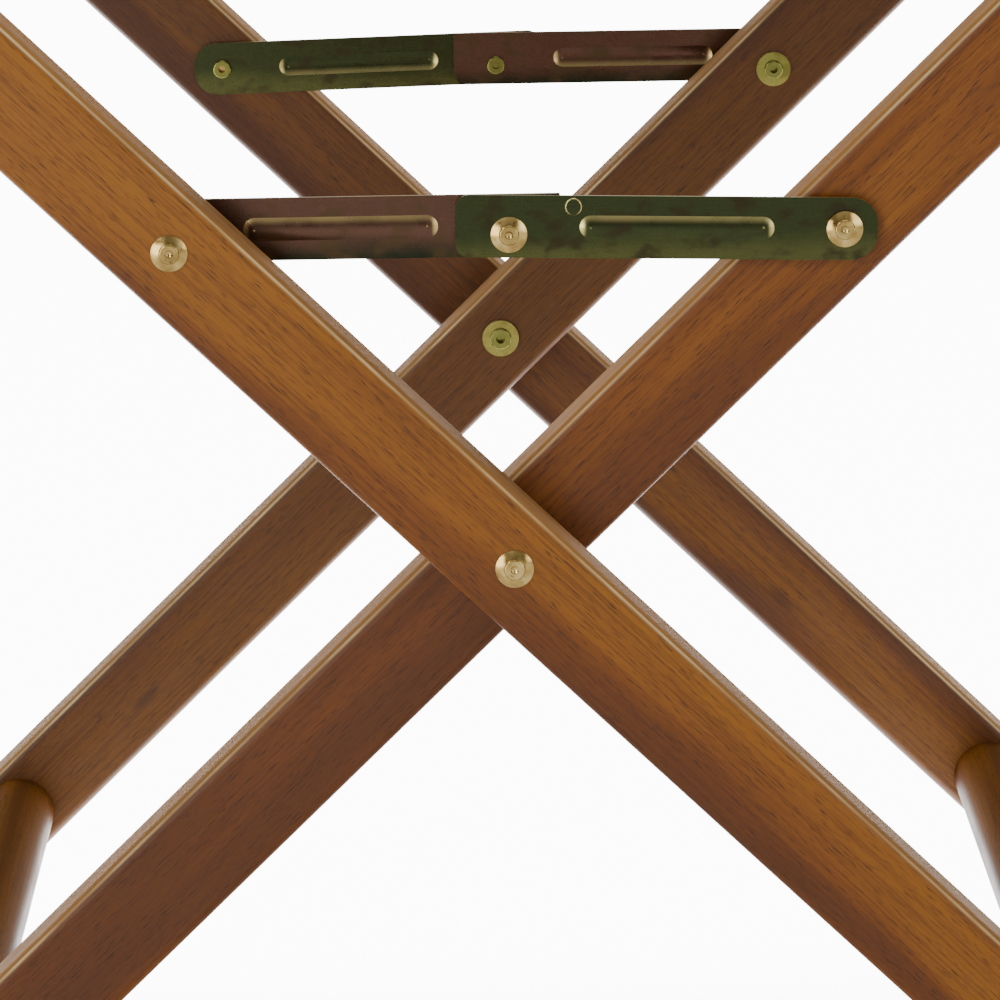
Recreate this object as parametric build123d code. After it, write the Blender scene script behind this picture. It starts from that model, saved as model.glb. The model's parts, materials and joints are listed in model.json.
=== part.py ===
from build123d import *
from math import asin, atan2, cos, degrees, radians, sin, sqrt
import os

# Folding luggage rack: two crossed wooden frames on rivets, held open by two
# folding stays, with webbing straps between the top rails.
# Frame: +X right, +Y away from the front, +Z up. The origin is on the floor,
# under the middle of the crossing. Millimetres and degrees.

# Frames
leg_slope = 44.25
leg_width = 32.0
leg_thick = 19.0
edge_radius = 3.0
depth = 368.0
leg_gap = 4.4
foot_reach = 355.0
rail_reach = 340.0
dowel_reach = 248.7
dowel_radius = 12.5
rail_radius = 14.0
tenon_radius = 8.0
tenon_length = 12.0
pivot_height = foot_reach * sin(radians(leg_slope))

# Faces across the depth, from the front
outer_front = -depth / 2
outer_back = outer_front + leg_thick
inner_front = outer_back + leg_gap
inner_back = inner_front + leg_thick

# Stays: pressed strips with a raised rib, lapped and riveted in the middle
stay_reach = 136.1
strip_width = 18.4
strip_thick = 1.0
rib_width = 6.8
rib_height = 0.65
rib_start = 20.5
rib_end = 77.0
knuckle_drop = 2.4
outer_overhang = 9.6
near_overhang = 15.6
far_overhang = 15.0
near_layer = 1.0
far_layer = 3.0
lug_offset = 18.6
lug_radius = 2.6
lug_round = 0.55

# Fasteners
fit_gap = 0.05
side_gap = 0.3
pivot_radius = 3.0
pivot_head_radius = 5.6
stay_pin_radius = 2.4
stay_head_radius = 5.3
head_height = 1.8
head_rim = 0.35
flange_height = 1.25
button_share = 0.56
button_round = 0.5
dimple_radius = 1.7
dimple_depth = 0.55
tail_height = 1.2
washer_radius = 6.0
washer_thick = 1.2
pivot_spacer_radius = 9.0
screw_radius = 2.0
screw_head_radius = 4.0
screw_length = 34.0

# Straps
strap_width = 50.0
strap_thick = 2.2
strap_spacing = 70.0
strap_count = 4
rail_clearance = 0.1
wrap_end_angle = 318.0
tack_angle = 300.0
tack_head_radius = 3.5
tack_pin_radius = 0.9
tack_length = 11.0
tack_spread = 14.0

stay_half_span = stay_reach * cos(radians(leg_slope))
stay_height = pivot_height + stay_reach * sin(radians(leg_slope))
strip_tilt = degrees(asin(knuckle_drop / stay_half_span))
knuckle_along = sqrt(stay_half_span ** 2 - knuckle_drop ** 2)


def along_leg(reach, side):
    """Point in X and Z on a leg's centreline; side is -1 for tops at the left, +1 for tops at the right."""
    slope = radians(leg_slope)
    return side * reach * cos(slope), pivot_height + reach * sin(slope)


def rod(radius, x, z, y_from, y_to):
    """Round bar along Y between two depths."""
    middle = (y_from + y_to) / 2
    return Pos(x, middle, z) * Rot(90, 0, 0) * Cylinder(radius, abs(y_to - y_from))


def ring(outer, inner, x, z, y_from, y_to):
    """Flat washer along Y."""
    low, high = sorted((y_from, y_to))
    return rod(outer, x, z, low, high) - rod(inner, x, z, low - 1, high + 1)


def facing(x, z, y, away):
    """Places a shape drawn along +Z at a depth, pointing along Y to the side away (-1 front, +1 back)."""
    return Pos(x, y, z) * Rot(-90 * away, 0, 0)


def rivet_head(radius):
    """Low domed flange with a raised button and a dimple in its middle, standing on z = 0."""
    dome_rise = flange_height - head_rim
    dome_radius = (radius ** 2 + dome_rise ** 2) / (2 * dome_rise)
    upward = (Align.CENTER, Align.CENTER, Align.MIN)
    body = Cylinder(radius, flange_height, align=upward)
    body &= Pos(0, 0, flange_height - dome_radius) * Sphere(dome_radius)
    button = Cylinder(radius * button_share, head_height, align=upward)
    body += fillet(button.edges().group_by(Axis.Z)[-1], button_round)
    body -= Pos(0, 0, head_height + dimple_radius - dimple_depth) * Sphere(dimple_radius)
    return body


def rivet_tail(pin_radius):
    """Rolled end of a semi-tubular rivet, standing on z = 0."""
    roll = Cylinder(pin_radius + 0.8, tail_height, align=(Align.CENTER, Align.CENTER, Align.MIN))
    roll = fillet(roll.edges().group_by(Axis.Z)[-1], 0.5)
    return roll


def rivet(x, z, y_head, y_tail, pin_radius, head_radius):
    """Semi-tubular rivet along Y, from under its head to under its rolled tail."""
    outward = -1 if y_head < y_tail else 1
    body = rod(pin_radius, x, z, y_head, y_tail)
    body += facing(x, z, y_head, outward) * rivet_head(head_radius)
    body += facing(x, z, y_tail, -outward) * rivet_tail(pin_radius)
    tail_end = y_tail - outward * tail_height
    hollow = rod(pin_radius * 0.55, x, z, tail_end - outward * 1.0, tail_end + outward * 3.2)
    return body - hollow


def screw(x, z, y_face, inward):
    """Countersunk wood screw, flush with a face, pointing along Y to the side inward."""
    cone = Cone(screw_head_radius, screw_radius, 2.4, align=(Align.CENTER, Align.CENTER, Align.MIN))
    body = facing(x, z, y_face, inward) * cone
    body += rod(screw_radius, x, z, y_face + inward * 2.0, y_face + inward * screw_length)
    slot = Box(2 * screw_head_radius, 1.0, 1.2)
    return body - Pos(x, y_face, z) * Rot(0, 30, 0) * Rot(90, 0, 0) * slot


def screw_hole(x, z, y_face, inward):
    """Room for one screw."""
    head = screw_head_radius + fit_gap
    cone = Cone(head, screw_radius + fit_gap, 2.4 + fit_gap, align=(Align.CENTER, Align.CENTER, Align.MIN))
    body = facing(x, z, y_face, inward) * cone
    start = y_face - inward * 1.0
    body += rod(screw_radius + fit_gap, x, z, start, y_face + inward * (screw_length + 0.5))
    return body


def leg(side, y_front, crossbar_side):
    """One leg: rounded long edges, round top end, flat foot, and blind holes towards crossbar_side."""
    length = foot_reach + leg_width
    bar = Pos((rail_reach - length) / 2, 0) * Rectangle(rail_reach + length, leg_width)
    outline = bar + Pos(rail_reach, 0) * Circle(leg_width / 2)
    slab = extrude(outline, leg_thick)
    layers = slab.edges().group_by(Axis.Z)
    slab = fillet(layers[0] + layers[-1], edge_radius)
    turn = 180 + leg_slope if side < 0 else -leg_slope
    y_far = y_front + leg_thick
    body = Pos(0, y_far, pivot_height) * Rot(0, turn, 0) * Rot(90, 0, 0) * slab
    floor_block = Box(4 * foot_reach, 4 * leg_thick, 200, align=(Align.CENTER, Align.CENTER, Align.MAX))
    body -= Pos(0, y_front, 0) * floor_block
    inner_face = y_far if crossbar_side > 0 else y_front
    outer_face = y_front if crossbar_side > 0 else y_far
    for reach in (rail_reach, -dowel_reach):
        x, z = along_leg(reach, side)
        blind_end = inner_face - crossbar_side * (tenon_length + fit_gap)
        body -= rod(tenon_radius + fit_gap, x, z, blind_end, inner_face + crossbar_side)
        body -= screw_hole(x, z, outer_face, crossbar_side)
    body -= rod(pivot_radius + fit_gap, 0, pivot_height, y_front - 1, y_far + 1)
    x, z = along_leg(stay_reach, side)
    body -= rod(stay_pin_radius + fit_gap, x, z, y_front - 1, y_far + 1)
    return body


def crossbar(radius, reach, side, y_front, y_back):
    """Round bar between the two legs of a frame, with a tenon and a screw hole at each end."""
    x, z = along_leg(reach, side)
    body = rod(radius, x, z, y_front, y_back)
    body += rod(tenon_radius, x, z, y_front - tenon_length, y_back + tenon_length)
    body -= screw_hole(x, z, y_front - leg_thick, 1)
    body -= screw_hole(x, z, y_back + leg_thick, -1)
    return body


def crowned_rib():
    """Pressed rib with a rounded crown and rounded ends, along X on z = 0; it is also the hollow behind itself."""
    crown = (rib_width ** 2 / 4 + rib_height ** 2) / (2 * rib_height)
    reach = (rib_end - rib_start - rib_width) / 2
    lump = Rot(0, 90, 0) * Cylinder(crown, 2 * reach)
    for end in (-reach, reach):
        lump += Pos(end, 0, 0) * Sphere(crown)
    above = Box(4 * rib_end, 4 * crown, crown, align=(Align.CENTER, Align.CENTER, Align.MIN))
    return Pos(0, 0, rib_height - crown) * lump & Pos(0, 0, -strip_thick / 2) * above


def stay_strip(overhang, is_near):
    """One stay link, drawn with its outer pivot at the origin, its knuckle at +X and its rib towards +Z."""
    inner_end = knuckle_along + overhang
    size = inner_end + outer_overhang
    outline = Pos((inner_end - outer_overhang) / 2, 0) * Rectangle(size, strip_width)
    ends = outline.vertices().group_by(Axis.X)
    outline = fillet(ends[0], strip_width * 0.42)
    corners = outline.vertices().group_by(Axis.X)[-1].sort_by(Axis.Y)
    if is_near:
        outline = fillet(corners, 4.0)
    else:
        outline = fillet(corners[0], 2.0)
        outline = chamfer(outline.vertices().sort_by(Axis.X)[-1:], 3.0)
    plate = extrude(outline, strip_thick)
    rib_middle = knuckle_along - (rib_start + rib_end) / 2
    plate += Pos(rib_middle, 0, strip_thick) * crowned_rib()
    plate -= Pos(rib_middle, 0, 0) * crowned_rib()
    if is_near:
        lug = Cylinder(lug_radius, strip_thick / 2 + rib_height, align=(Align.CENTER, Align.CENTER, Align.MIN))
        lug = fillet(lug.edges().group_by(Axis.Z)[-1], lug_round)
        plate += Pos(knuckle_along - lug_offset, strip_width / 2 - lug_radius - 0.6, strip_thick / 2) * lug
    outer_drop = 0 if is_near else knuckle_drop
    inner_along = knuckle_along if is_near else stay_half_span
    hole = Cylinder(stay_pin_radius + fit_gap, 10)
    plate -= Pos(0, -outer_drop, 0) * hole
    plate -= Pos(inner_along, -knuckle_drop, 0) * hole
    return Rot(0, 0, strip_tilt if is_near else 0) * Pos(0, outer_drop, 0) * plate


def front_near_link():
    """Link in the layer nearer the front, hung from the inner frame at the right."""
    strip = mirror(stay_strip(near_overhang, True), Plane.YZ)
    return Pos(stay_half_span, outer_back + near_layer + strip_thick, stay_height) * Rot(90, 0, 0) * strip


def front_far_link():
    """Link in the layer behind, hung from the outer frame at the left."""
    strip = stay_strip(far_overhang, False)
    return Pos(-stay_half_span, outer_back + far_layer + strip_thick, stay_height) * Rot(90, 0, 0) * strip


def knuckle_head():
    """Head and pin of the knuckle rivet, fixed in the near link."""
    face = outer_back + near_layer
    back = face + strip_thick
    body = facing(0, stay_height, face, -1) * rivet_head(stay_head_radius)
    body += rod(stay_pin_radius, 0, stay_height, face, back)
    return body


def knuckle_tail():
    """Rolled end of the knuckle rivet, fixed in the far link."""
    face = outer_back + far_layer
    back = face + strip_thick
    body = rod(stay_pin_radius, 0, stay_height, face, back)
    body += facing(0, stay_height, back, 1) * rivet_tail(stay_pin_radius)
    hollow = rod(stay_pin_radius * 0.55, 0, stay_height, face + 0.6, back + tail_height + 1)
    return body - hollow


def strap_span(y):
    """Taut flat run of one strap between the tops of the rails."""
    x, z = along_leg(rail_reach, 1)
    low = z + rail_radius + rail_clearance
    return Pos(0, y, low + strap_thick / 2) * Box(2 * x, strap_width, strap_thick)


def tack_places():
    """Depths of the tacks along a rail, two for each strap."""
    return [y + step * tack_spread for y in strap_depths for step in (-1, 1)]


def at_rail(side, angle, radius):
    """Point in X and Z around a rail, counted from straight inward at the top side of the strap's wrap."""
    x, z = along_leg(rail_reach, side)
    turn = radians(angle)
    return x - side * radius * cos(turn), z + radius * sin(turn)


def tack_pose(side, y, radius):
    """Places a tack drawn along +Z so that it points into the rail at tack_angle."""
    x, z = at_rail(side, tack_angle, radius)
    centre_x, centre_z = along_leg(rail_reach, side)
    lean = degrees(atan2(centre_x - x, centre_z - z))
    return Pos(x, y, z) * Rot(0, lean, 0)


def tack(side, y):
    """Round-headed brass tack through the strap's end into the rail."""
    outside = rail_radius + rail_clearance + strap_thick
    head = Cylinder(tack_head_radius, 1.0, align=(Align.CENTER, Align.CENTER, Align.MAX))
    head = fillet(head.edges().group_by(Axis.Z)[0], 0.7)
    pin = Cylinder(tack_pin_radius, tack_length, align=(Align.CENTER, Align.CENTER, Align.MIN))
    return tack_pose(side, y, outside) * (head + pin)


def tack_holes(side):
    """Room for every tack on one rail."""
    outside = rail_radius + rail_clearance + strap_thick
    pin = Cylinder(tack_pin_radius + fit_gap, tack_length + 2, align=(Align.CENTER, Align.CENTER, Align.MIN))
    return [tack_pose(side, y, outside + 1.5) * pin for y in tack_places()]


def strap_wrap(side, y):
    """End of one strap, from the top of a rail round its outer side to its tacks underneath."""
    inner = rail_radius + rail_clearance
    outer = inner + strap_thick
    steps = (90, (90 + wrap_end_angle) / 2, wrap_end_angle)
    inside = [at_rail(side, angle, inner) for angle in steps]
    outside = [at_rail(side, angle, outer) for angle in steps]
    front = y - strap_width / 2
    near = [(x, front, z) for x, z in inside]
    far = [(x, front, z) for x, z in outside]
    edges = [ThreePointArc(*near), Line(near[2], far[2]), ThreePointArc(*far[::-1]), Line(far[0], near[0])]
    return extrude(make_face(edges), strap_width, dir=(0, 1, 0))


strap_depths = [(i - (strap_count - 1) / 2) * strap_spacing for i in range(strap_count)]


def frame_parts(name, side, y_front):
    """Legs, rail, dowel, screws and strap ends of one frame; y_front is its front leg's front face."""
    inside = -(y_front + leg_thick)
    parts = {}
    parts[f"{name}_leg_front"] = leg(side, y_front, 1)
    parts[f"{name}_leg_back"] = leg(side, -y_front - leg_thick, -1)
    rail = crossbar(rail_radius, rail_reach, side, -inside, inside)
    for hole in tack_holes(side):
        rail -= hole
    parts[f"{name}_top_rail"] = rail
    parts[f"{name}_bottom_dowel"] = crossbar(dowel_radius, -dowel_reach, side, -inside, inside)
    screws = []
    for reach in (rail_reach, -dowel_reach):
        x, z = along_leg(reach, side)
        screws += [screw(x, z, y_front, 1), screw(x, z, -y_front, -1)]
    parts[f"{name}_frame_screws"] = Compound(children=screws)
    for number, y in enumerate(strap_depths, 1):
        wrap = strap_wrap(side, y)
        for hole in tack_holes(side):
            wrap -= hole
        parts[f"{name}_strap_end_{number}"] = wrap
    parts[f"{name}_strap_tacks"] = Compound(children=[tack(side, y) for y in tack_places()])
    return parts


def pivot_parts():
    """Main rivets through both frames, with a spacer between the legs and a washer under each tail."""
    parts = {}
    for name, side in (("front", 1), ("back", -1)):
        washer_from = side * (inner_back + side_gap)
        washer_to = side * (inner_back + side_gap + washer_thick)
        pin = rivet(0, pivot_height, side * outer_front, washer_to, pivot_radius, pivot_head_radius)
        parts[f"{name}_pivot_rivet"] = pin
        spacer_to = side * (inner_front - side_gap)
        bore = pivot_radius + fit_gap
        parts[f"{name}_pivot_spacer"] = ring(
            pivot_spacer_radius, bore, 0, pivot_height, side * outer_back, spacer_to)
        parts[f"{name}_pivot_washer"] = ring(washer_radius + 0.5, bore, 0, pivot_height, washer_from, washer_to)
    return parts


def stay_rivet(x, y_head, y_tail):
    """Rivet at the outer end of a link."""
    return rivet(x, stay_height, y_head, y_tail, stay_pin_radius, stay_head_radius)


def stay_ring(x, y_from, y_to):
    """Spacer or washer on a stay rivet."""
    return ring(washer_radius, stay_pin_radius + fit_gap, x, stay_height, y_from, y_to)


def stay_parts():
    """Both stays, with the back one the front one turned half round about Z, and their rivets."""
    near, far = front_near_link(), front_far_link()
    head, tail = knuckle_head(), knuckle_tail()
    half_turn = Rot(0, 0, 180)
    parts = {}
    parts["front_stay_near_link"] = near
    parts["front_stay_far_link"] = far
    parts["front_knuckle_head"] = head
    parts["front_knuckle_tail"] = tail
    parts["back_stay_near_link"] = half_turn * far
    parts["back_stay_far_link"] = half_turn * near
    parts["back_knuckle_tail"] = half_turn * tail
    parts["back_knuckle_head"] = half_turn * head
    span = stay_half_span
    near_front = outer_back + near_layer
    near_back = near_front + strip_thick
    far_front = outer_back + far_layer
    far_back = far_front + strip_thick
    # Front left, through the outer leg
    parts["front_left_stay_rivet"] = stay_rivet(-span, outer_front, far_back + side_gap)
    parts["front_left_stay_spacer"] = stay_ring(-span, outer_back, far_front - side_gap)
    # Front right, through the inner leg
    washer_back = inner_back + washer_thick
    parts["front_right_stay_rivet"] = stay_rivet(span, near_front - side_gap, washer_back)
    parts["front_right_stay_spacer"] = stay_ring(span, near_back + side_gap, inner_front)
    parts["front_right_stay_washer"] = stay_ring(span, inner_back, washer_back)
    # Back left, through the outer leg
    parts["back_left_stay_rivet"] = stay_rivet(-span, -outer_front, -(near_back + side_gap))
    parts["back_left_stay_spacer"] = stay_ring(-span, -outer_back, -(near_front - side_gap))
    # Back right, through the inner leg
    parts["back_right_stay_rivet"] = stay_rivet(span, -(far_front - side_gap), -washer_back)
    parts["back_right_stay_washer"] = stay_ring(span, -inner_back, -washer_back)
    return parts


def strap_parts():
    """Flat spans of the straps, one for each depth."""
    return {f"strap_span_{number}": strap_span(y) for number, y in enumerate(strap_depths, 1)}


def save(parts):
    """One STEP file for each node."""
    os.makedirs("parts", exist_ok=True)
    for name, shape in parts.items():
        export_step(shape, f"parts/{name}.step")


parts = {}
parts.update(frame_parts("outer", -1, outer_front))
parts.update(frame_parts("inner", 1, inner_front))
parts.update(pivot_parts())
parts.update(stay_parts())
parts.update(strap_parts())
save(parts)
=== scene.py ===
import json
import math

import bmesh
import bpy
from mathutils import Matrix, Vector


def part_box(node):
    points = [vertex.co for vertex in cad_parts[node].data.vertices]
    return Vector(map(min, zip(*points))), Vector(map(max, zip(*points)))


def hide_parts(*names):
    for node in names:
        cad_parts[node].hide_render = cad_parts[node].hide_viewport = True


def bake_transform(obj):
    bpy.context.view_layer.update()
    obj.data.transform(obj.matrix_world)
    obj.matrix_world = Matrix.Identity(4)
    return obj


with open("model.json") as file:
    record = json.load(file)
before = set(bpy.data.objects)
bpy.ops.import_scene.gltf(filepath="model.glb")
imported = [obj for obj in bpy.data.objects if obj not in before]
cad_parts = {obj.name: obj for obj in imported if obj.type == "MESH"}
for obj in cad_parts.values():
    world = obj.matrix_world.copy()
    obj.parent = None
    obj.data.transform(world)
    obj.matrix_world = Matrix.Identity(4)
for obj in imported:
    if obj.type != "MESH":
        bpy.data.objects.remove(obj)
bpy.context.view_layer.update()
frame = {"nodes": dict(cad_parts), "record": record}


# Legs: four boards of tropical hardwood, planed square with eased arrises and crossed in two
# pairs. They are stained brown and sealed with satin lacquer, which gives a warm, streaky face.
# The upward arrises are painted paler, a painted sheen, with a thin painted highlight along them.

leg_slope = math.radians(44.25)
fold_joint = next(joint for joint in frame["record"]["behaviour"]["joints"] if joint["name"] == "fold")
pivot = Vector(fold_joint["pos_m"])


def linear(hex_colour):
    """RGBA in linear light from an sRGB hex colour."""
    channels = [int(hex_colour[i:i + 2], 16) / 255 for i in (1, 3, 5)]
    return [c / 12.92 if c <= 0.04045 else ((c + 0.055) / 1.055) ** 2.4 for c in channels] + [1.0]


def add(tree, kind, inputs, output=0, stops=(), **settings):
    """Adds a shader node with its settings and colour stops, links or sets its inputs by name or
    number, and gives one of its outputs. A colour is a hex value."""
    node = tree.nodes.new("ShaderNode" + kind)
    for key, value in settings.items():
        setattr(node, key, value)
    for number, (position, colour) in enumerate(stops):
        elements = node.color_ramp.elements
        element = elements[number] if number < 2 else elements.new(position)
        element.position, element.color = position, linear(colour)
    for key, value in inputs.items():
        if isinstance(value, bpy.types.NodeSocket):
            tree.links.new(value, node.inputs[key])
        else:
            node.inputs[key].default_value = linear(value) if isinstance(value, str) else value
    return node.outputs[output] if node.outputs else None


def empty_material(name):
    """Material with no nodes, and its node tree."""
    material = bpy.data.materials.new(name)
    material.use_nodes = True
    material.node_tree.nodes.clear()
    return material, material.node_tree


def dress(names, material):
    """Puts a material on nodes of the frame."""
    for name in names:
        for slot in frame["nodes"][name].material_slots:
            slot.material = material


def hardwood(name, turn, seed, darkening=0.0, knot=None, arris_sheen=0.5, index=1.33):
    """Stained hardwood, its grain laid along +X by turn. The darkening mixes it towards near black,
    which is painted shade on the back legs. knot is a place where the rings swell round a dark eye,
    and the arris sheen is how strongly the upward arrises are painted paler, a painted sheen with a
    painted highlight line along it."""
    material, tree = empty_material(name)
    place = add(tree, "TexCoord", {}, "Object")
    centred = add(tree, "VectorMath", {0: place, 1: pivot}, operation="SUBTRACT")
    grain = add(tree, "Mapping", {"Vector": centred, "Rotation": turn})

    # Growth rings 8 mm apart, stretched ten times along the grain
    ring_space = add(tree, "Mapping", {
        "Vector": grain, "Scale": (0.10, 1.0, 1.0), "Location": (seed, 0.035, 0.012)})
    if knot:
        offset = add(tree, "VectorMath", {0: grain, 1: knot}, operation="SUBTRACT")
        flattened = add(tree, "VectorMath", {0: offset, 1: (0.32, 0.0, 1.0)}, operation="MULTIPLY")
        distance = add(tree, "VectorMath", {0: flattened}, "Value", operation="LENGTH")
        swell = add(tree, "MapRange", {
            "Value": distance, "From Max": 0.018, "To Min": 0.012, "To Max": 0.0},
            interpolation_type="SMOOTHSTEP")
        lift = add(tree, "CombineXYZ", {"Z": swell})
        ring_space = add(tree, "VectorMath", {0: ring_space, 1: lift}, operation="ADD")
    rings = add(tree, "TexWave", {
        "Vector": ring_space, "Scale": 38.0, "Distortion": 5.0, "Detail": 2.5, "Detail Scale": 0.9,
        "Phase Offset": seed * 7.0}, "Fac", wave_type="RINGS", rings_direction="X")

    # Cells per metre along and across the grain. The pores are drawn about twice as coarse as
    # real ones, so that they show
    broad, streaks, pores, gloss = (
        add(tree, "TexNoise", {
            "Vector": add(tree, "Mapping", {"Vector": grain, "Scale": cells}), "W": seed + shift,
            "Scale": 1.0, "Detail": detail, "Distortion": distortion}, "Fac", noise_dimensions="4D")
        for cells, shift, detail, distortion in (
            ((3.5, 34, 34), 0.0, 4.0, 0.5),       # figure, 290 mm by 29 mm
            ((22, 1300, 1300), 3.0, 4.0, 0.0),    # streaks, 45 mm by 0.8 mm
            ((210, 4200, 4200), 5.0, 1.0, 0.0),   # pores, 5 mm by 0.24 mm
            ((30, 120, 120), 9.0, 3.0, 0.0)))     # lacquer laid on unevenly, 33 mm by 8 mm

    figure = add(tree, "Math", {0: rings, 1: 0.34, 2: broad}, operation="MULTIPLY_ADD")
    figure = add(tree, "MapRange", {
        "Value": figure, "From Min": 0.30, "From Max": 0.98}, interpolation_type="SMOOTHSTEP")
    colour = add(tree, "ValToRGB", {"Fac": figure}, stops=(
        (0.0, "#452100"), (0.35, "#572c00"), (0.62, "#663700"), (1.0, "#774700")))
    streaked = add(tree, "MapRange", {
        "Value": streaks, "From Min": 0.40, "From Max": 0.68, "To Max": 0.45},
        interpolation_type="SMOOTHSTEP")
    colour = add(tree, "Mix", {"Factor": streaked, 6: colour, 7: "#3f1b01"}, 2, data_type="RGBA")
    open_pore = add(tree, "MapRange", {
        "Value": pores, "From Min": 0.58, "From Max": 0.70, "To Max": 0.8},
        interpolation_type="SMOOTHSTEP")
    colour = add(tree, "Mix", {"Factor": open_pore, 6: colour, 7: "#210d01"}, 2, data_type="RGBA")
    if knot:
        eye = add(tree, "MapRange", {
            "Value": distance, "From Min": 0.0008, "From Max": 0.0028, "To Min": 0.45, "To Max": 0.0},
            interpolation_type="SMOOTHSTEP")
        colour = add(tree, "Mix", {"Factor": eye, 6: colour, 7: "#241003"}, 2, data_type="RGBA")
    # Mixed towards near black by the darkening, which on the back legs is painted shade
    colour = add(tree, "Mix", {"Factor": darkening, 6: colour, 7: "#1c0b01"}, 2, data_type="RGBA")

    # Painted sheen and highlight on the upward arrises, in place of light: the normal's Y is 1 on a
    # leg's flat face and 0.71 half way round an arris
    normal = add(tree, "NewGeometry", {}, "Normal")
    flatness = add(tree, "Math", {
        0: add(tree, "SeparateXYZ", {"Vector": normal}, "Y")}, operation="ABSOLUTE")
    upward = add(tree, "MapRange", {
        "Value": add(tree, "SeparateXYZ", {"Vector": normal}, "Z"), "From Min": 0.15, "From Max": 0.6},
        interpolation_type="SMOOTHSTEP")
    rounded = add(tree, "MapRange", {
        "Value": flatness, "From Min": 0.70, "From Max": 0.97, "To Min": arris_sheen, "To Max": 0.0},
        interpolation_type="SMOOTHSTEP")
    arris_sheen_mask = add(tree, "Math", {0: upward, 1: rounded}, operation="MULTIPLY")
    # Upward arrises mixed towards a pale tan: a painted sheen
    colour = add(tree, "Mix", {"Factor": arris_sheen_mask, 6: colour, 7: "#85602f"}, 2, data_type="RGBA")
    rise = add(tree, "MapRange", {
        "Value": flatness, "From Min": 0.60, "From Max": 0.86}, interpolation_type="SMOOTHSTEP")
    fall = add(tree, "MapRange", {
        "Value": flatness, "From Min": 0.99, "From Max": 0.92}, interpolation_type="SMOOTHSTEP")
    crest = add(tree, "Math", {0: rise, 1: fall}, operation="MULTIPLY")
    highlight_strength = add(tree, "MapRange", {
        "Value": gloss, "From Min": 0.35, "From Max": 0.65, "To Min": 0.5, "To Max": 1.6},
        interpolation_type="SMOOTHSTEP")
    shine = add(tree, "Math", {0: crest, 1: highlight_strength}, operation="MULTIPLY")
    shine = add(tree, "Math", {0: shine, 1: arris_sheen_mask}, operation="MULTIPLY", use_clamp=True)
    # A thin cream line on the crest of each upward arris, patchy in strength: a painted highlight
    colour = add(tree, "Mix", {"Factor": shine, 6: colour, 7: "#f4dca6"}, 2, data_type="RGBA")

    # Lacquer: satin on the faces, dull where it faces up, sunk a little into the pores. Its index
    # is below a clear lacquer's 1.5, because a brushed coat reflects less
    height = add(tree, "Math", {0: pores, 1: 0.6, 2: streaks}, operation="MULTIPLY_ADD")
    sunk = add(tree, "Bump", {"Height": height, "Strength": 0.2, "Distance": 0.0004})
    satin = add(tree, "MapRange", {
        "Value": gloss, "From Min": 0.3, "From Max": 0.7, "To Min": 0.40, "To Max": 0.52},
        interpolation_type="SMOOTHSTEP")
    rough = add(tree, "Mix", {0: upward, 2: satin, 3: 0.8})
    shader = add(tree, "BsdfPrincipled", {
        "Base Color": colour, "Roughness": rough, "IOR": index, "Normal": sunk})
    add(tree, "OutputMaterial", {"Surface": shader})
    return material


along_outer = (0.0, math.pi - leg_slope, 0.0)
along_inner = (0.0, leg_slope, 0.0)
dress(["outer_leg_front"], hardwood("hardwood_outer_front", along_outer, 1.3))
dress(["inner_leg_front"], hardwood("hardwood_inner_front", along_inner, 4.1))
# The back legs are drawn darker than the front ones: painted shade
dress(["outer_leg_back"], hardwood(
    "hardwood_outer_back", along_outer, 6.7, darkening=0.5, knot=(-0.146, 0.0, 0.004)))
dress(["inner_leg_back"], hardwood(
    "hardwood_inner_back", along_inner, 8.2, darkening=0.6, knot=(-0.185, 0.0, -0.003)))


# Crossbars: the two top rails and two lower dowels, turned from the same hardwood and held
# between the legs by screws. They are drawn darker than the front legs, with a duller finish and
# only a faint painted sheen on the arrises.

along_depth = (0.0, 0.0, -math.pi / 2)
crossbars = ["outer_top_rail", "inner_top_rail", "outer_bottom_dowel", "inner_bottom_dowel"]
dress(crossbars, hardwood("hardwood_crossbar", along_depth, 2.6, darkening=0.55, arris_sheen=0.1, index=1.12))


# Screws, washers and spacers: pressed and turned steel, zinc plated and yellow chromated. The
# film has patches of two colours with mottling and a different tint low down. Wherever the sheet
# turns away from its face it is painted brighter gold, a painted highlight. A metal keeps the default IOR.

stay_middle = sum(corner[2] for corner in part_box("front_knuckle_head")) / 2


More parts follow.
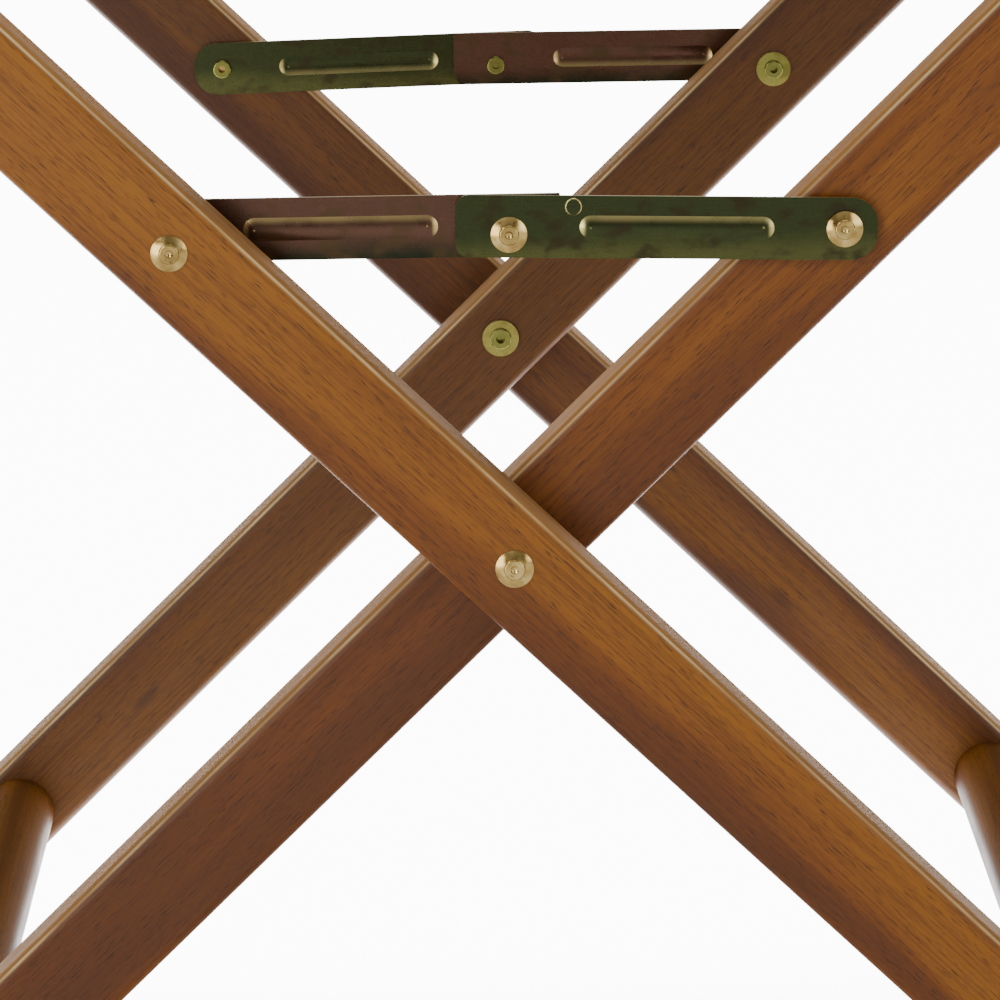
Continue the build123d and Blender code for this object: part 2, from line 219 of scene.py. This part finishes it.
def chromated_zinc(name, upper, lower, mottle, glint_gold, seed):
    material, tree = empty_material(name)
    place = add(tree, "TexCoord", {}, "Object")

    # Cells per metre: clouds 25 mm across, patches 9 mm, and scratches 17 mm by 0.4 mm
    cloud, patches, scratches = (
        add(tree, "TexNoise", {
            "Vector": add(tree, "Mapping", {"Vector": place, "Scale": cells}), "W": seed + shift,
            "Scale": 1.0, "Detail": detail, "Distortion": distortion}, "Fac", noise_dimensions="4D")
        for cells, shift, detail, distortion in (
            ((40, 40, 90), 0.0, 3.0, 0.8),
            ((110, 110, 160), 2.0, 4.0, 0.0),
            ((60, 60, 2600), 4.0, 2.0, 0.0)))

    shifted = add(tree, "Math", {
        0: cloud, 1: 0.008, 2: add(tree, "SeparateXYZ", {"Vector": place}, "Z")}, operation="MULTIPLY_ADD")
    band = add(tree, "MapRange", {
        "Value": shifted, "From Min": stay_middle - 0.0035, "From Max": stay_middle + 0.0045},
        interpolation_type="SMOOTHSTEP")
    colour = add(tree, "Mix", {"Factor": band, 6: lower, 7: upper}, 2, data_type="RGBA")
    mottled = add(tree, "MapRange", {
        "Value": patches, "From Min": 0.48, "From Max": 0.66, "To Max": 0.75},
        interpolation_type="SMOOTHSTEP")
    colour = add(tree, "Mix", {"Factor": mottled, 6: colour, 7: mottle}, 2, data_type="RGBA")

    # Painted gold highlights in place of reflections: beside the face, at the ends of a rib, and along its
    # upper edge
    normal = add(tree, "NewGeometry", {}, "Normal")
    for axis, low, high, at_low, at_high in (
            ("Y", 0.55, 0.90, 0.85, 0.0), ("X", 0.14, 0.34, 0.0, 0.9), ("Z", 0.10, 0.38, 0.0, 0.5)):
        facing = add(tree, "SeparateXYZ", {"Vector": normal}, axis)
        if axis != "Z":
            facing = add(tree, "Math", {0: facing}, operation="ABSOLUTE")
        painted_glint = add(tree, "MapRange", {
            "Value": facing, "From Min": low, "From Max": high, "To Min": at_low, "To Max": at_high},
            interpolation_type="SMOOTHSTEP")
        colour = add(tree, "Mix", {"Factor": painted_glint, 6: colour, 7: glint_gold}, 2, data_type="RGBA")

    scratched = add(tree, "Bump", {"Height": scratches, "Strength": 0.10, "Distance": 0.0002})
    rough = add(tree, "MapRange", {
        "Value": patches, "From Min": 0.3, "From Max": 0.7, "To Min": 0.22, "To Max": 0.36},
        interpolation_type="SMOOTHSTEP")
    shader = add(tree, "BsdfPrincipled", {
        "Base Color": colour, "Metallic": 0.9, "Roughness": rough, "Normal": scratched})
    add(tree, "OutputMaterial", {"Surface": shader})
    return material


washers = [name for name in frame["nodes"] if "washer" in name or "spacer" in name]
dress(washers, chromated_zinc("chromated_zinc_washer", "#7f7c3c", "#8f8846", "#66602a", "#d5c987", 9.0))
dress(["outer_frame_screws", "inner_frame_screws"], chromated_zinc(
    "chromated_zinc_screw", "#8c7d4a", "#8c7d4a", "#6b5c33", "#cbbd86", 12.0))


# Stays: each is two strips of sheet steel with a pressed rib, hinged to one another at a knuckle,
# which hold the legs open. They are plated like the washers, and the film has come out olive on
# one strip of a stay and maroon on the other.

dress(["front_stay_near_link", "back_stay_far_link"], chromated_zinc(
    "chromated_zinc_olive", "#30361d", "#484a27", "#2c2416", "#c2b272", 1.0))
dress(["front_stay_far_link", "back_stay_near_link"], chromated_zinc(
    "chromated_zinc_maroon", "#50382c", "#1b2315", "#42331f", "#bda56a", 5.0))


# Rivets, knuckles and tacks: headed brass-plated steel, polished in a barrel and clenched over a
# washer. The plate has faint clouding and darker specks, and the rolled tails on the inner side
# of the stays are greener.

stay_depth = -(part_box("front_stay_far_link")[0][1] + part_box("front_knuckle_tail")[0][1]) / 2


def brass_plate(name, seed):
    material, tree = empty_material(name)
    place = add(tree, "TexCoord", {}, "Object")

    # Cells per metre: clouds 4 mm across and specks 1 mm
    cloud, specks = (
        add(tree, "TexNoise", {
            "Vector": place, "W": seed + shift, "Scale": cells, "Detail": detail}, "Fac",
            noise_dimensions="4D")
        for cells, shift, detail in ((260, 0.0, 3.0), (900, 2.0, 1.0)))

    colour = add(tree, "ValToRGB", {"Fac": cloud}, stops=(
        (0.3, "#84693a"), (0.5, "#a3884e"), (0.7, "#c0a86c")))
    speckled = add(tree, "MapRange", {
        "Value": specks, "From Min": 0.66, "From Max": 0.74, "To Max": 0.6},
        interpolation_type="SMOOTHSTEP")
    colour = add(tree, "Mix", {"Factor": speckled, 6: colour, 7: "#5a4520"}, 2, data_type="RGBA")
    outwards = add(tree, "Math", {
        0: add(tree, "SeparateXYZ", {"Vector": place}, "Y")}, operation="ABSOLUTE")
    outer_side = add(tree, "MapRange", {
        "Value": outwards, "From Min": stay_depth - 0.0004, "From Max": stay_depth + 0.0004},
        interpolation_type="SMOOTHSTEP")
    colour = add(tree, "Mix", {"Factor": outer_side, 6: "#6f6e38", 7: colour}, 2, data_type="RGBA")
    dented = add(tree, "Bump", {"Height": cloud, "Strength": 0.08, "Distance": 0.0002})
    rough = add(tree, "MapRange", {
        "Value": cloud, "From Min": 0.3, "From Max": 0.7, "To Min": 0.12, "To Max": 0.24},
        interpolation_type="SMOOTHSTEP")
    shader = add(tree, "BsdfPrincipled", {
        "Base Color": colour, "Metallic": 1.0, "Roughness": rough, "Normal": dented})
    add(tree, "OutputMaterial", {"Surface": shader})
    return material


headed = [name for name in frame["nodes"] if "rivet" in name or "knuckle" in name or "tacks" in name]
dress(headed, brass_plate("brass_plate_rivet", 3.0))


# Straps: four bands of woven black nylon webbing, each one continuous mesh, tacked under the outer
# frame's rail, drawn up over it, across to the inner frame's rail and round underneath that. The
# edges are rounded over and the ends are cut square.

rail_low, rail_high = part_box("inner_top_rail")
rail_x = (rail_low[0] + rail_high[0]) / 2
rail_z = (rail_low[2] + rail_high[2]) / 2
span_low, span_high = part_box("strap_span_1")
strap_width = span_high[1] - span_low[1]
strap_thick = span_high[2] - span_low[2]
wrap_radius = (span_low[2] + span_high[2]) / 2 - rail_z
wrap_end = math.radians(318)
weave_pitch = 0.0022


def nylon_webbing(name):
    """Rows of small slanted ribs across the strap, 2.2 mm apart, from its own flat coordinates in
    metres. The yarn is matt black, with loose fibres that catch a little light, and its index is
    below solid nylon's 1.53."""
    material, tree = empty_material(name)
    flat = add(tree, "UVMap", {}, uv_map="flat")
    along = add(tree, "SeparateXYZ", {"Vector": flat}, "X")
    across = add(tree, "SeparateXYZ", {"Vector": flat}, "Y")
    column = add(tree, "Math", {0: across, 1: math.pi / weave_pitch}, operation="MULTIPLY")
    weave_side = add(tree, "Math", {0: column}, operation="SINE")
    slant = add(tree, "Math", {0: weave_side, 1: 1.2}, operation="MULTIPLY")
    row = add(tree, "Math", {0: along, 1: 2 * math.pi / weave_pitch, 2: slant}, operation="MULTIPLY_ADD")
    rib = add(tree, "Math", {0: row}, operation="SINE")
    cord = add(tree, "Math", {0: weave_side}, operation="ABSOLUTE")
    weave = add(tree, "Math", {0: rib, 1: 0.5, 2: cord}, operation="MULTIPLY_ADD")
    fuzz = add(tree, "TexNoise", {
        "Vector": add(tree, "TexCoord", {}, "Object"), "W": 1.0, "Scale": 1200.0, "Detail": 3.0}, "Fac",
        noise_dimensions="4D")
    # The raised ribs of the weave are painted lighter and its hollows darker: painted light and shade
    proud = add(tree, "MapRange", {
        "Value": weave, "From Min": -0.5, "From Max": 1.5}, interpolation_type="SMOOTHSTEP")
    colour = add(tree, "ValToRGB", {"Fac": proud}, stops=(
        (0.0, "#060606"), (0.6, "#111112"), (1.0, "#1e1e20")))
    fuzzy = add(tree, "MapRange", {
        "Value": fuzz, "From Min": 0.5, "From Max": 0.75, "To Max": 0.3}, interpolation_type="SMOOTHSTEP")
    colour = add(tree, "Mix", {"Factor": fuzzy, 6: colour, 7: "#262628"}, 2, data_type="RGBA")
    woven = add(tree, "Bump", {"Height": weave, "Strength": 0.5, "Distance": 0.0006})
    shader = add(tree, "BsdfPrincipled", {
        "Base Color": colour, "Roughness": 0.7, "IOR": 1.35, "Sheen Weight": 0.08,
        "Sheen Roughness": 0.4, "Normal": woven})
    add(tree, "OutputMaterial", {"Surface": shader})
    return material


def strap_path():
    """Middle line of a strap in X and Z, with the direction out of its outer face at each point."""
    wrap_steps, span_steps = 28, 96
    turns = [wrap_end + (math.pi / 2 - wrap_end) * i / wrap_steps for i in range(wrap_steps + 1)]
    left = [((-rail_x + wrap_radius * math.cos(t), rail_z + wrap_radius * math.sin(t)),
             (math.cos(t), math.sin(t))) for t in turns]
    top = rail_z + wrap_radius
    span = [((-rail_x + 2 * rail_x * i / span_steps, top), (0.0, 1.0)) for i in range(1, span_steps)]
    right = [((-x, z), (-out_x, out_z)) for (x, z), (out_x, out_z) in reversed(left)]
    return left + span + right


def strap_section():
    """Outline of a strap across its width: (across, out) pairs with rounded edges."""
    half, thin = strap_width / 2, strap_thick / 2
    edge_steps, face_steps = 6, 8
    sunk = 0.93    # the faces lie a little lower than the edges
    outline = []
    for side in (1, -1):
        for i in range(edge_steps + 1):
            turn = math.pi / 2 - math.pi * i / edge_steps
            outline.append((side * (half - thin + thin * math.cos(turn)), side * thin * math.sin(turn)))
        for i in range(1, face_steps):
            outline.append((side * (half - thin) * (1 - 2 * i / face_steps), -side * thin * sunk))
    return outline


def build_strap(number, material):
    """One strap with flat coordinates in metres for its weave."""
    low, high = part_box(f"strap_span_{number}")
    middle = (low[1] + high[1]) / 2
    path, section = strap_path(), strap_section()
    grid = bmesh.new()
    flat = grid.loops.layers.uv.new("flat")
    travelled, previous, rings = 0.0, None, []
    lengths = []
    for (x, z), (out_x, out_z) in path:
        if previous:
            travelled += math.dist((x, z), previous)
        previous = (x, z)
        lengths.append(travelled)
        rings.append([grid.verts.new((x + out * out_x, middle + across, z + out * out_z))
                      for across, out in section])
    size = len(section)
    for step in range(len(rings) - 1):
        for i in range(size):
            j = (i + 1) % size
            face = grid.faces.new((rings[step][i], rings[step][j], rings[step + 1][j], rings[step + 1][i]))
            face.smooth = True
            places = ((step, i), (step, j), (step + 1, j), (step + 1, i))
            for loop, (at, corner) in zip(face.loops, places):
                loop[flat].uv = (lengths[at], section[corner][0])
    for ring in (rings[0], rings[-1]):
        grid.faces.new(ring)
    bmesh.ops.recalc_face_normals(grid, faces=grid.faces)
    mesh = bpy.data.meshes.new(f"strap_{number}")
    grid.to_mesh(mesh)
    grid.free()
    strap = bpy.data.objects.new(f"strap_{number}", mesh)
    bpy.context.scene.collection.objects.link(strap)
    mesh.materials.append(material)
    return strap, travelled


webbing = nylon_webbing("nylon_webbing")
for number in range(1, 5):
    strap, length = build_strap(number, webbing)
    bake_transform(strap)
    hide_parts(f"strap_span_{number}", f"outer_strap_end_{number}", f"inner_strap_end_{number}")


# Floor: a pale painted sweep, which glows behind the rack like a lit one, so that it is white
# there. It isn't part of the rack.

def stage_plane(name, reach):
    """Flat square on the floor round the origin."""
    corners = [(-reach, -reach, 0), (reach, -reach, 0), (reach, reach, 0), (-reach, reach, 0)]
    mesh = bpy.data.meshes.new(name)
    mesh.from_pydata(corners, [], [(0, 1, 2, 3)])
    plane = bpy.data.objects.new(name, mesh)
    bpy.context.scene.collection.objects.link(plane)
    return plane


paint, paint_tree = empty_material("studio_paint")
floor_place = add(paint_tree, "TexCoord", {}, "Object")
glow = add(paint_tree, "MapRange", {
    "Value": add(paint_tree, "SeparateXYZ", {"Vector": floor_place}, "Y"), "From Min": -0.02,
    "From Max": 0.17, "To Max": 11.0}, interpolation_type="SMOOTHSTEP")
painted = add(paint_tree, "BsdfPrincipled", {
    "Base Color": "#ececec", "Roughness": 0.9, "Emission Color": "#ffffff", "Emission Strength": glow})
add(paint_tree, "OutputMaterial", {"Surface": painted})
stage_plane("floor", 8.0).data.materials.append(paint)


# Light: a sky that brightens upwards and to the back, a large soft light overhead and three weaker
# ones in front. The strongest of those stands high on the left, one low on the left, and one on
# the right.

world = bpy.data.worlds.new("studio")
world.use_nodes = True
sky_tree = world.node_tree
sky = sky_tree.nodes["Background"]
sky.inputs["Color"].default_value = linear("#ffffff")
direction = add(sky_tree, "TexCoord", {}, "Generated")
backward = add(sky_tree, "MapRange", {
    "Value": add(sky_tree, "SeparateXYZ", {"Vector": direction}, "Y"), "From Min": -0.3, "From Max": 0.6,
    "To Min": 0.4, "To Max": 0.7}, interpolation_type="SMOOTHSTEP")
skyward = add(sky_tree, "MapRange", {
    "Value": add(sky_tree, "SeparateXYZ", {"Vector": direction}, "Z"), "From Min": -0.2, "From Max": 0.9,
    "To Min": 0.5, "To Max": 2.2}, interpolation_type="SMOOTHSTEP")
brightness = add(sky_tree, "Math", {0: backward, 1: skyward}, operation="MULTIPLY")
sky_tree.links.new(brightness, sky.inputs["Strength"])
bpy.context.scene.world = world


def area_light(name, place, aim, size, power):
    """Square light of a size in metres and a power in watts, aimed at a point."""
    data = bpy.data.lights.new(name, "AREA")
    data.size, data.energy = size, power
    light = bpy.data.objects.new(name, data)
    light.location = place
    light.rotation_euler = (Vector(aim) - Vector(place)).to_track_quat("-Z", "Y").to_euler()
    bpy.context.scene.collection.objects.link(light)


area_light("overhead", (0.1, 0.4, 2.2), (0, 0, 0.3), 1.2, 22)
area_light("front_left", (-1.3, -1.8, 1.5), (0, 0, 0.3), 0.8, 24)
area_light("front_right", (1.2, -1.9, 0.7), (0, 0, 0.2), 0.9, 11)
area_light("front_low", (-0.9, -1.7, 0.25), (-0.1, 0, 0.15), 0.7, 12)


# Camera: a long lens a little above the crossing, looking slightly down

camera_data = bpy.data.cameras.new("camera")
camera_data.lens, camera_data.sensor_width = 172.8, 36.0
camera = bpy.data.objects.new("camera", camera_data)
pitch, yaw, roll = math.radians(-13.856), math.radians(0.502), math.radians(-0.895)
forward = Vector((math.sin(yaw) * math.cos(pitch), math.cos(yaw) * math.cos(pitch), math.sin(pitch)))
right = Vector((math.cos(yaw), -math.sin(yaw), 0))
up = right.cross(forward)
level_right, level_up = right, up
right = math.cos(roll) * level_right + math.sin(roll) * level_up
up = math.cos(roll) * level_up - math.sin(roll) * level_right
place = Vector((-0.0158, -1.534, pivot.z + 0.3537))
camera.matrix_world = Matrix.Translation(place) @ Matrix((right, up, -forward)).transposed().to_4x4()
bpy.context.scene.collection.objects.link(camera)
bpy.context.scene.camera = camera
